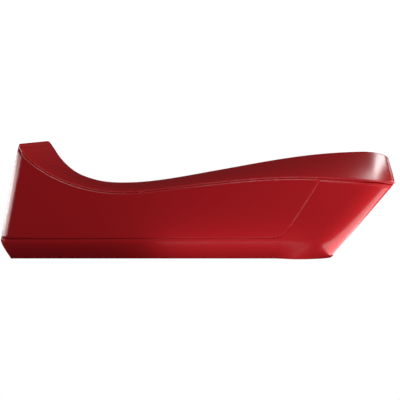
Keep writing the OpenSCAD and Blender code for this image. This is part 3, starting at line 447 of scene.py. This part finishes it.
# ---- operators --------------------------------------------------------------
class VENDING_OT_roof(bpy.types.Operator):
    """Wave-shaped roof with a rounded edge and a fine groove inside it"""
    bl_idname = "vending.roof"
    bl_label = "Roof"

    def execute(self, context):
        s = sizes()
        r, depth, groove = s.edge_radius / MM, s.roof_edge / MM, s.groove_depth / MM
        edge = [(0.0, depth), (0.0, r)]
        edge += [(r * (1 - math.cos(a)), r * (1 - math.sin(a))) for a in
                 [math.radians(d) for d in (15, 30, 45, 60, 75, 90)]]
        edge += [(6.4, 0.0), (7.2, 0.35 * groove), (8.2, groove), (9.2, 0.35 * groove), (10.0, 0.0),
                 (13.0, 0.0), (18.0, 0.0), (25.0, 0.0), (36.0, 0.0), (48.0, 0.0), (60.0, 0.0)]
        across = 24
        lines = [(d, drop, -1) for d, drop in edge]
        lines += [(mix(60, 2 * HALF_W - 60, t / across), 0.0, 0) for t in range(1, across)]
        lines += [(d, drop, 1) for d, drop in reversed(edge)]
        along = 150
        cols = [(d, drop, -1) for d, drop in edge[:-2]]
        cols += [(t / along, 0.0, 0) for t in range(1, along)]
        cols += [(d, drop, 1) for d, drop in reversed(edge[:-2])]
        inset = edge[-3][0]
        head_columns, head_share = 0.35, 0.22

        def place(i, j):
            d, drop_y, side = lines[j]
            y = -HALF_W + d if side <= 0 else HALF_W - d
            from_side = min(HALF_W - abs(y), HALF_W)
            x0, x1 = lip_meet(from_side, y), X_RIGHT - roll_cut(from_side)
            e, drop_x, end = cols[i]
            if end < 0:
                x = x0 + e
            elif end > 0:
                x = x1 - e
            else:
                # columns stand closer together at the head, where the wave is steep
                if e < head_columns:
                    share = head_share * e / head_columns
                else:
                    share = mix(head_share, 1, (e - head_columns) / (1 - head_columns))
                x = mix(x0 + inset, x1 - inset, share)
            rolled = roof_z(x, y) + crown_rise(y) * min(1.0, (x - x0) / CROWN_RUN_IN)
            return x, y, rolled - max(drop_x, drop_y) * slope_allowance(x, y)

        bm = shaped_grid(len(cols) - 1, len(lines) - 1, place)
        outwards(bm, Vector((0, 0, 2)))
        piece = finish_piece(bm, "roof_skin", "cabinet", "gloss_red_gelcoat", ["roof_cover"])
        wall_of(piece, ROOF_WALL)
        return {"FINISHED"}


class VENDING_OT_hull(bpy.types.Operator):
    """Tucked skirt and raked prow in one moulding, with the seam along its top"""
    bl_idname = "vending.hull"
    bl_label = "Hull"

    def columns(self):
        s = sizes()
        seam, tuck, toe, corner = s.seam / MM, s.tuck / MM, s.toe / MM, s.corner / MM
        foot0 = SEAM_X - SEAM_TANGENT
        cols = []

        def side(sign):
            y, found = sign * HALF_W, []
            top = slant_top(y)
            for t in range(24):
                x = mix(X_LEFT + corner, foot0, t / 24)
                found.append((x, x, SEAM_Z - seam, y, (0, -sign), tuck))
            for k in range(13):
                a = SEAM_TURN * k / 12
                found.append((foot0 + 2 * k / 3, SEAM_X - SEAM_TANGENT + (SEAM_R + seam) * math.sin(a),
                              SEAM_Z + SEAM_R - (SEAM_R + seam) * math.cos(a), y, (0, -sign), tuck))
            arc_top = SEAM_Z + SEAM_R * (1 - math.cos(SEAM_TURN))
            for k in range(1, 13):
                z, f = mix(arc_top, top, k / 12), k / 12
                found.append((mix(foot0 + 8, foot0 + 25, f), slant_x(z) + seam, z, y, (0, -sign),
                              mix(tuck, 0.8 * tuck, f)))
            for k in range(1, 10):
                f = k / 10
                x = mix(slant_x(top), X_RIGHT - ROLL_L, f)
                found.append((mix(foot0 + 25, PROW_X - ROLL_L, f), x, panel_top(x, y), y, (0, -sign),
                              tuck * mix(0.8, 0.25, f)))
            return found

        def roll(sign, degrees):
            a = math.radians(degrees)
            y, ox = sign * (HALF_W - ROLL_D * (1 - math.cos(a))), -ROLL_L * (1 - math.sin(a))
            z = settle(lambda h: panel_top(PROW_X + prow_rate(y) * h + ox, y), 250.0, 8)
            n = Vector((-math.sin(a) / ROLL_L, -sign * math.cos(a) / ROLL_D)).normalized()
            return (PROW_X + ox, PROW_X + prow_rate(y) * z + ox, z - 1.0, y, (n.x, n.y),
                    tuck * 0.25 * (1 - degrees / 90))

        def corner_column(sign, degrees):
            a = math.radians(degrees)
            d, x = corner * (1 - math.cos(a)), X_LEFT + corner * (1 - math.sin(a))
            return (x, x, SEAM_Z - seam, sign * (HALF_W - d), (math.sin(a), -sign * math.cos(a)),
                    mix(tuck, toe, degrees / 90))

        steps = [90 * k / 24 for k in range(25)]
        cols += side(-1) + [roll(-1, a) for a in steps] + [roll(1, a) for a in reversed(steps)]
        cols += list(reversed(side(1))) + [corner_column(1, 90 * k / 12) for k in range(13)]
        cols += [corner_column(-1, 90 - 90 * k / 12) for k in range(12)]
        return cols

    def execute(self, context):
        skirt = sizes().skirt / MM
        cols = self.columns()
        low = [0.006, 0.03, 0.08, 0.16, 0.26, 0.38, 0.52, 0.68, 0.84, 0.94, 1.0]
        upper, flare, head_flare = 14, 1.4, 1.3

        def place(i, j):
            x0, x1, top, y, n, tuck = cols[i % len(cols)]
            z = low[j] * skirt if j < len(low) else mix(skirt, top, (j - len(low) + 1) / upper)
            rise = 0.0 if z >= skirt else (1 - z / skirt) ** flare
            tucked = tuck * rise
            x = mix(x0, x1, z / top)
            return x + n[0] * tucked * (head_flare if n[0] < 0 else 1.0), y + n[1] * tucked, z

        bm = shaped_grid(len(cols), len(low) + upper - 1, place, ring=True)
        outwards(bm, Vector((0, -2, 0.1)))
        piece = finish_piece(bm, "hull_skin", "cabinet", "gloss_red_gelcoat", ["base_hull"])
        wall_of(piece, sizes().wall)
        return {"FINISHED"}


class VENDING_OT_side_mouldings(bpy.types.Operator):
    """Rear side with its rounded upright corner, and the matching front corner"""
    bl_idname = "vending.side_mouldings"
    bl_label = "Side mouldings"

    def execute(self, context):
        s = sizes()
        corner, foot = s.corner / MM, SEAM_Z + s.seam / MM / 2
        fit, rows, turn, flat = 0.3, 28, 14, 90
        top_right = slant_top(-HALF_W)
        x_top = settle(lambda x: (x + end_x(panel_top(x, -HALF_W)) + corner) / 2, LIP_X + corner)

        def corner_point(sign, degrees, t):
            a = math.radians(degrees)

            def meet(z):
                x = max(LIP_X, end_x(z) + corner - corner * math.sin(a))
                return (z + panel_top(x, sign * (HALF_W - corner + corner * math.cos(a)))) / 2
            z = mix(foot, settle(meet, HEAD_H, 16) - 1.2, t)
            return (end_x(z) + corner - corner * math.sin(a),
                    sign * (HALF_W - corner + corner * math.cos(a)), z)

        def rear(i, j):
            t = j / rows
            if i >= flat:
                return corner_point(-1, 90 * (i - flat) / turn, t)
            u = i / flat
            half = s.seam / MM / 2
            x_foot = mix(seam_line(foot) - half, end_x(foot) + corner, u)
            xt = mix(slant_x(top_right) - half, x_top, u)
            z = mix(foot, panel_top(xt, -HALF_W), t)
            straight = mix(seam_line(foot), slant_x(top_right), t)
            bend = (1 - u) * (seam_line(mix(foot, top_right, t)) - straight)
            return mix(x_foot, xt, t) + bend, -HALF_W, z

        bm = shaped_grid(flat + turn, rows, rear)
        outwards(bm, Vector((0, -2, 0.15)))
        piece = finish_piece(bm, "rear_moulding", "cabinet", "gloss_red_gelcoat",
                             ["rear_panel", "rear_corner"])
        wall_of(piece, s.wall)
        bm = shaped_grid(turn, rows, lambda i, j: corner_point(1, 90 * i / turn, j / rows))
        outwards(bm, Vector((-1.5, 1, 0.2)))
        piece = finish_piece(bm, "front_corner_moulding", "cabinet", "gloss_red_gelcoat", ["front_corner"])
        wall_of(piece, s.wall - fit * MM)
        return {"FINISHED"}


def softened(node, body, slot, width, degrees=32):
    """A merged copy of a CAD node with its edges rounded"""
    source = frame["nodes"][node]
    bm = bmesh.new()
    bm.from_mesh(source.data)
    bmesh.ops.remove_doubles(bm, verts=bm.verts, dist=2e-6)
    bmesh.ops.dissolve_limit(bm, angle_limit=math.radians(0.6), verts=bm.verts, edges=bm.edges)
    sharp = [e for e in bm.edges if len(e.link_faces) == 2 and e.calc_face_angle(0) > math.radians(degrees)]
    if sharp:
        bmesh.ops.bevel(bm, geom=sharp, offset=width, offset_type="OFFSET", segments=2, profile=0.5,
                        affect="EDGES", clamp_overlap=True, material=-1)
    piece = finish_piece(bm, node + "_piece", body, slot, [node])
    even_normals(piece)
    return piece


def body_of_node(node):
    return next(b for b, members in frame["record"]["behaviour"]["bodies"].items() if node in members)


def slot_of_node(node):
    return next(x["material_slot"] for x in frame["record"]["subparts"] if x["node"] == node)


def dress(nodes, width):
    for node in nodes:
        softened(node, body_of_node(node), slot_of_node(node), width)


class VENDING_OT_painted_panels(bpy.types.Operator):
    """Left end, front fascia, door and drawer front"""
    bl_idname = "vending.painted_panels"
    bl_label = "Painted panels"

    def execute(self, context):
        dress(["end_panel", "front_fascia", "door_panel", "drawer_front"], edges().panel_edge)
        return {"FINISHED"}


class VENDING_OT_sheet_metal(bpy.types.Operator):
    """Floor, bulkheads, guides, cases, cage and drawer"""
    bl_idname = "vending.sheet_metal"
    bl_label = "Sheet metal"

    def execute(self, context):
        dress(["base_plate", "coin_bulkhead", "prow_bulkhead", "bay_floor", "paper_guides", "paper_stop",
               "coin_mech_case", "coin_chute", "coin_drawer", "cash_cage", "door_stop_frame",
               "return_cup", "return_flap", "window_retainer", "ballast_block"], edges().sheet_edge)
        return {"FINISHED"}


class VENDING_OT_hardware(bpy.types.Operator):
    """Hinges, pins, screws, handle, lock, latch, bail, button and coin parts"""
    bl_idname = "vending.hardware"
    bl_label = "Hardware"

    def execute(self, context):
        dress(["hinge_leaves_fixed", "hinge_leaves_door", "hinge_pins", "ballast_bolts", "retainer_screws",
               "handle_screws", "fascia_screws", "door_keeper", "bail_brackets", "display_bail",
               "coin_cradle", "cradle_pin", "latch_hook", "latch_shaft", "flap_pin", "lock_cam",
               "coin_slot_bezel", "button_bush", "release_button", "door_handle", "drawer_lock"],
              edges().turned_edge)
        return {"FINISHED"}


class VENDING_OT_glazing(bpy.types.Operator):
    """Pane, gasket and bumpers"""
    bl_idname = "vending.glazing"
    bl_label = "Glazing and rubber"

    def execute(self, context):
        dress(["door_window", "window_gasket", "door_bumpers"], edges().turned_edge)
        return {"FINISHED"}


def coil(radius, wire, turns, y0, y1, centre_x, centre_z):
    """Round wire wound along Y by spinning its section with a steady shift"""
    bm = bmesh.new()
    made = bmesh.ops.create_circle(bm, cap_ends=False, segments=12, radius=wire)
    section = Matrix.Translation((radius, y0 + wire, 0))
    bmesh.ops.transform(bm, matrix=section, verts=made["verts"])
    steps = int(turns * 28)
    shift = (y1 - y0 - 2 * wire) / steps
    bmesh.ops.spin(bm, geom=list(bm.verts) + list(bm.edges), cent=(0, 0, 0), axis=(0, 1, 0),
                   dvec=(0, shift, 0), angle=math.tau * turns, steps=steps, use_merge=False)
    ends = [e for e in bm.edges if e.is_boundary]
    bmesh.ops.holes_fill(bm, edges=ends, sides=0)
    bmesh.ops.recalc_face_normals(bm, faces=bm.faces)
    bmesh.ops.transform(bm, matrix=Matrix.Translation((centre_x, 0, centre_z)), verts=bm.verts)
    return bm


class VENDING_OT_springs(bpy.types.Operator):
    """Torsion springs on the hinge pins and the coil behind the button"""
    bl_idname = "vending.springs"
    bl_label = "Springs"

    def execute(self, context):
        thin, thick, turns = 0.0006, 0.0008, 6
        lo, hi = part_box("button_spring")
        middle = (lo + hi) / 2
        bm = coil((hi.x - lo.x) / 2 - thin, thin, turns, lo.y, hi.y, middle.x, middle.z)
        wire = finish_piece(bm, "button_spring_wire", "cabinet", "spring_steel", ["button_spring"])
        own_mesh(wire)
        lo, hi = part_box("door_springs")
        radius = (hi.z - lo.z) / 2 - thick
        along = sorted(v.co.x for v in frame["nodes"]["door_springs"].data.vertices)
        between_springs = 0.05
        groups, begin = [], along[0]
        for a, b in zip(along, along[1:] + [along[-1] + 1]):
            if b - a > between_springs:
                groups.append((begin, a))
                begin = b
        bm = bmesh.new()
        for x0, x1 in groups:
            one = coil(radius, thick, turns, x0, x1, 0, 0)
            turn = Matrix.Translation((0, (lo.y + hi.y) / 2, (lo.z + hi.z) / 2)) @ Matrix.Rotation(
                -math.pi / 2, 4, "Z")
            bmesh.ops.transform(one, matrix=turn, verts=one.verts)
            mesh = bpy.data.meshes.new("wound")
            one.to_mesh(mesh)
            one.free()
            bm.from_mesh(mesh)
            bpy.data.meshes.remove(mesh)
        finish_piece(bm, "door_spring_wires", "cabinet", "spring_steel", ["door_springs"])
        return {"FINISHED"}


def strip_light(name, place, aim, width, height, power, mirrored=True):
    """A soft rectangular light; one that isn't mirrored lights surfaces without showing in their gloss"""
    data = bpy.data.lights.new(name, "AREA")
    data.shape = "RECTANGLE"
    data.size, data.size_y, data.energy = width, height, power
    lamp = bpy.data.objects.new(name, data)
    lamp.location = place
    lamp.rotation_euler = (Vector(aim) - Vector(place)).to_track_quat("-Z", "Y").to_euler()
    lamp.visible_camera = False
    lamp.visible_glossy = mirrored
    bpy.context.scene.collection.objects.link(lamp)


class VENDING_OT_stage(bpy.types.Operator):
    """Pale floor, soft studio light and camera"""
    bl_idname = "vending.stage"
    bl_label = "Stage"

    def execute(self, context):
        scene = context.scene
        # The floor and the world are white to the camera, and nearly dark to every other ray
        bm = bmesh.new()
        bmesh.ops.create_grid(bm, x_segments=1, y_segments=1, size=9.0)
        bmesh.ops.translate(bm, vec=(0, 0, -0.0005), verts=bm.verts)
        mesh = bpy.data.meshes.new("floor")
        bm.to_mesh(mesh)
        bm.free()
        floor = bpy.data.objects.new("floor", mesh)
        scene.collection.objects.link(floor)
        pale = bpy.data.materials.new("pale_floor")
        pale.use_nodes = True
        nodes, link = pale.node_tree.nodes, pale.node_tree.links.new
        shader = nodes["Principled BSDF"]
        shader.inputs["Base Color"].default_value = (0.03, 0.03, 0.03, 1)
        shader.inputs["Roughness"].default_value = 0.9
        shader.inputs["Specular IOR Level"].default_value = 0.0
        glow = nodes.new("ShaderNodeEmission")
        glow.inputs["Strength"].default_value = 1.0
        path = nodes.new("ShaderNodeLightPath")
        both = nodes.new("ShaderNodeMixShader")
        link(path.outputs["Is Camera Ray"], both.inputs[0])
        link(shader.outputs[0], both.inputs[1])
        link(glow.outputs[0], both.inputs[2])
        link(both.outputs[0], nodes["Material Output"].inputs["Surface"])
        mesh.materials.append(pale)

        world = bpy.data.worlds.new("studio")
        scene.world = world
        world.use_nodes = True
        nodes, link = world.node_tree.nodes, world.node_tree.links.new
        ambient = nodes["Background"]
        ambient.inputs["Color"].default_value = (1, 1, 1, 1)
        ambient.inputs["Strength"].default_value = 0.01
        seen = nodes.new("ShaderNodeBackground")
        seen.inputs["Color"].default_value = (1, 1, 1, 1)
        seen.inputs["Strength"].default_value = 1.1
        choose = nodes.new("ShaderNodeMixShader")
        path = nodes.new("ShaderNodeLightPath")
        link(path.outputs["Is Camera Ray"], choose.inputs[0])
        link(ambient.outputs[0], choose.inputs[1])
        link(seen.outputs[0], choose.inputs[2])
        link(choose.outputs[0], nodes["World Output"].inputs["Surface"])

        strip_light("left_box", (-2.4, 0.0, 0.31), (-0.6, 0, 0.2), 3.2, 0.42, 34)
        strip_light("key", (1.5, -1.6, 0.9), (0.3, -0.2, 0.15), 0.7, 0.9, 27, mirrored=False)
        strip_light("bead_glow", (0.0, -2.0, 2.6), (0.2, -0.2, 0.26), 1.3, 0.5, 17)
        strip_light("overhead", (0.0, 1.2, 2.6), (0, 0, 0.2), 2.4, 0.9, 22, mirrored=False)
        strip_light("tip_glow", (0.96, 2.6, 1.4), (0.6, 0, 0.25), 0.13, 0.9, 2.0)
        strip_light("prow_side", (1.15, -0.2, 0.02), (0.55, -0.1, 0.2), 0.7, 0.9, 12, mirrored=False)
        strip_light("prow_under", (0.74, -0.14, 0.01), (0.74, -0.14, 0.3), 0.6, 0.24, 1.4)
        strip_light("skirt_low", (0.13, -0.30, 0.008), (0.13, -0.21, 0.05), 0.5, 0.03, 0.2, mirrored=False)
        strip_light("back_left", (-2.6, 2.4, 1.3), (-0.1, 0.1, 0.15), 1.2, 1.2, 28)
        strip_light("back_right", (2.6, 2.6, 1.3), (0.1, 0.1, 0.15), 1.2, 1.2, 28)

        data = bpy.data.cameras.new("camera")
        data.sensor_width = 36.0
        data.lens = 93.87
        camera = bpy.data.objects.new("camera", data)
        right = Vector((0.99359, 0.11194, -0.01570))
        up = Vector((0.00637, 0.08324, 0.99651))
        ahead = Vector((-0.11285, 0.99022, -0.08199))
        turned = Matrix((right, up, -ahead)).transposed().to_4x4()
        camera.matrix_world = Matrix.Translation((0.4056, -3.5552, 0.4707)) @ turned
        scene.collection.objects.link(camera)
        scene.camera = camera
        scene.view_settings.view_transform = "Standard"
        scene.view_settings.look = "None"
        return {"FINISHED"}


STEPS = ("roof", "hull", "side_mouldings", "painted_panels", "sheet_metal", "hardware", "glazing",
         "springs", "stage")


class VENDING_PT_sidebar(bpy.types.Panel):
    """Lists the pieces that can be built"""
    bl_idname = "VENDING_PT_sidebar"
    bl_label = "Vending Box"
    bl_space_type = "VIEW_3D"
    bl_region_type = "UI"
    bl_category = "Vending Box"

    def draw(self, context):
        for step in STEPS:
            self.layout.operator("vending." + step)


CLASSES = (MouldingSizes, HardwareSizes, FinishColours, VENDING_OT_roof, VENDING_OT_hull,
           VENDING_OT_side_mouldings, VENDING_OT_painted_panels, VENDING_OT_sheet_metal,
           VENDING_OT_hardware, VENDING_OT_glazing, VENDING_OT_springs, VENDING_OT_stage,
           VENDING_PT_sidebar)


def register():
    for c in CLASSES:
        bpy.utils.register_class(c)
    bpy.types.Scene.moulding_sizes = PointerProperty(type=MouldingSizes)
    bpy.types.Scene.hardware_sizes = PointerProperty(type=HardwareSizes)
    bpy.types.Scene.finish_colours = PointerProperty(type=FinishColours)


def unregister():
    for name in ("moulding_sizes", "hardware_sizes", "finish_colours"):
        delattr(bpy.types.Scene, name)
    for c in reversed(CLASSES):
        bpy.utils.unregister_class(c)


def main():
    register()
    for step in STEPS:
        getattr(bpy.ops.vending, step)()


if __name__ == "__main__":
    main()
